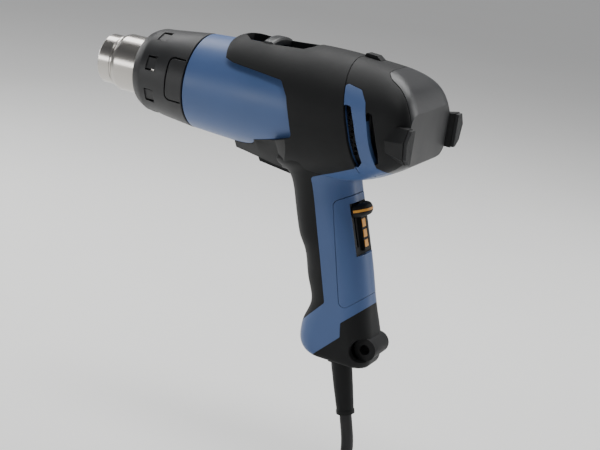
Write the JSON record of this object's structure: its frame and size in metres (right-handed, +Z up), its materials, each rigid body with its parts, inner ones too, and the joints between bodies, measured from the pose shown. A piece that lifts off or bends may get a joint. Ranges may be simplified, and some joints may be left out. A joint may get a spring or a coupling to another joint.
{
  "type": "heat gun",
  "caption": "Pistol-grip electric hot-air gun with a steel outlet tube, vented collar, slide switch on the back of the handle, standing feet and a mains cord.",
  "frame": {"origin": "middle of the grip on the handle's centre line, 90 mm below the barrel's axis", "axes": "+X the way the air leaves, +Y the tool's left side, +Z up"},
  "size_m": [0.245, 0.1704, 0.3394],
  "materials": {
    "blue_body": "semi-gloss moulded ABS",
    "soft_black": "matte overmoulded elastomer",
    "dark_cover": "satin glass-filled nylon",
    "collar_plastic": "matte heat-resistant plastic",
    "grey_rubber": "stippled matte rubber",
    "stainless": "brushed stainless, heat tinted",
    "steel": "zinc plated",
    "mica": "mica sheet",
    "ceramic": "unglazed ceramic",
    "nichrome": "oxidised wire",
    "orange": "moulded orange",
    "board_green": "solder mask",
    "capacitor_sleeve": "shrink sleeve",
    "aluminium": "extruded",
    "pale_nylon": "natural nylon",
    "copper": "copper winding",
    "lead_insulation": "silicone insulation",
    "cord_rubber": "matte cord sheath",
    "plated_brass": "nickel plated brass"
  },
  "bodies": {
    "body": {"left_housing": "blue_body", "right_housing": "blue_body", "left_soft_coat": "soft_black", "right_soft_coat": "soft_black", "left_handle_panel": "blue_body", "right_handle_panel": "blue_body", "left_rear_cover": "dark_cover", "right_rear_cover": "dark_cover", "rear_hood": "dark_cover", "cover_tab": "dark_cover", "end_cap": "soft_black", "left_foot_pad": "grey_rubber", "right_foot_pad": "grey_rubber", "left_intake_screen": "soft_black", "right_intake_screen": "soft_black", "fan_inlet_plate": "dark_cover", "vent_bridge": "dark_cover", "vent_screen": "soft_black", "housing_screws": "steel", "outlet_tube": "stainless", "heat_shield": "stainless", "heater_mount": "ceramic", "air_duct": "pale_nylon", "mica_sleeve": "mica", "heater_core": "ceramic", "heating_coils": "nichrome", "temperature_probe": "steel", "motor_can": "steel", "motor_magnets": "capacitor_sleeve", "motor_bearings": "plated_brass", "motor_holder": "pale_nylon", "switch_plate": "soft_black", "position_marks": "orange", "switch_body": "pale_nylon", "circuit_board": "board_green", "capacitors": "capacitor_sleeve", "heat_sink": "aluminium", "terminal_block": "pale_nylon", "terminal_screws": "plated_brass", "internal_leads": "lead_insulation", "strain_relief": "soft_black", "cord_clamp": "pale_nylon", "supply_cord": "cord_rubber", "cord_coil": "cord_rubber", "cord_tie": "soft_black", "plug_body": "soft_black", "plug_pins": "plated_brass"},
    "collar": {"front_collar": "collar_plastic"},
    "fan": {"fan_wheel": "pale_nylon", "motor_shaft": "steel", "armature": "copper", "commutator": "copper"},
    "switch": {"switch_knob": "soft_black", "knob_ring": "orange"}
  },
  "joints": [
    {"name": "switch_slide", "type": "slide", "parent": "body", "child": "switch", "axis": [-0.3057, 0, -0.9521], "range_m": [0, 0.02]},
    {"name": "fan_spin", "type": "hinge", "parent": "body", "child": "fan", "pos_m": [0, 0, 0.09], "axis": [1, 0, 0], "continuous": true},
    {"name": "collar_pull", "type": "slide", "parent": "body", "child": "collar", "axis": [1, 0, 0], "range_m": [0, 0.09]}
  ]
}
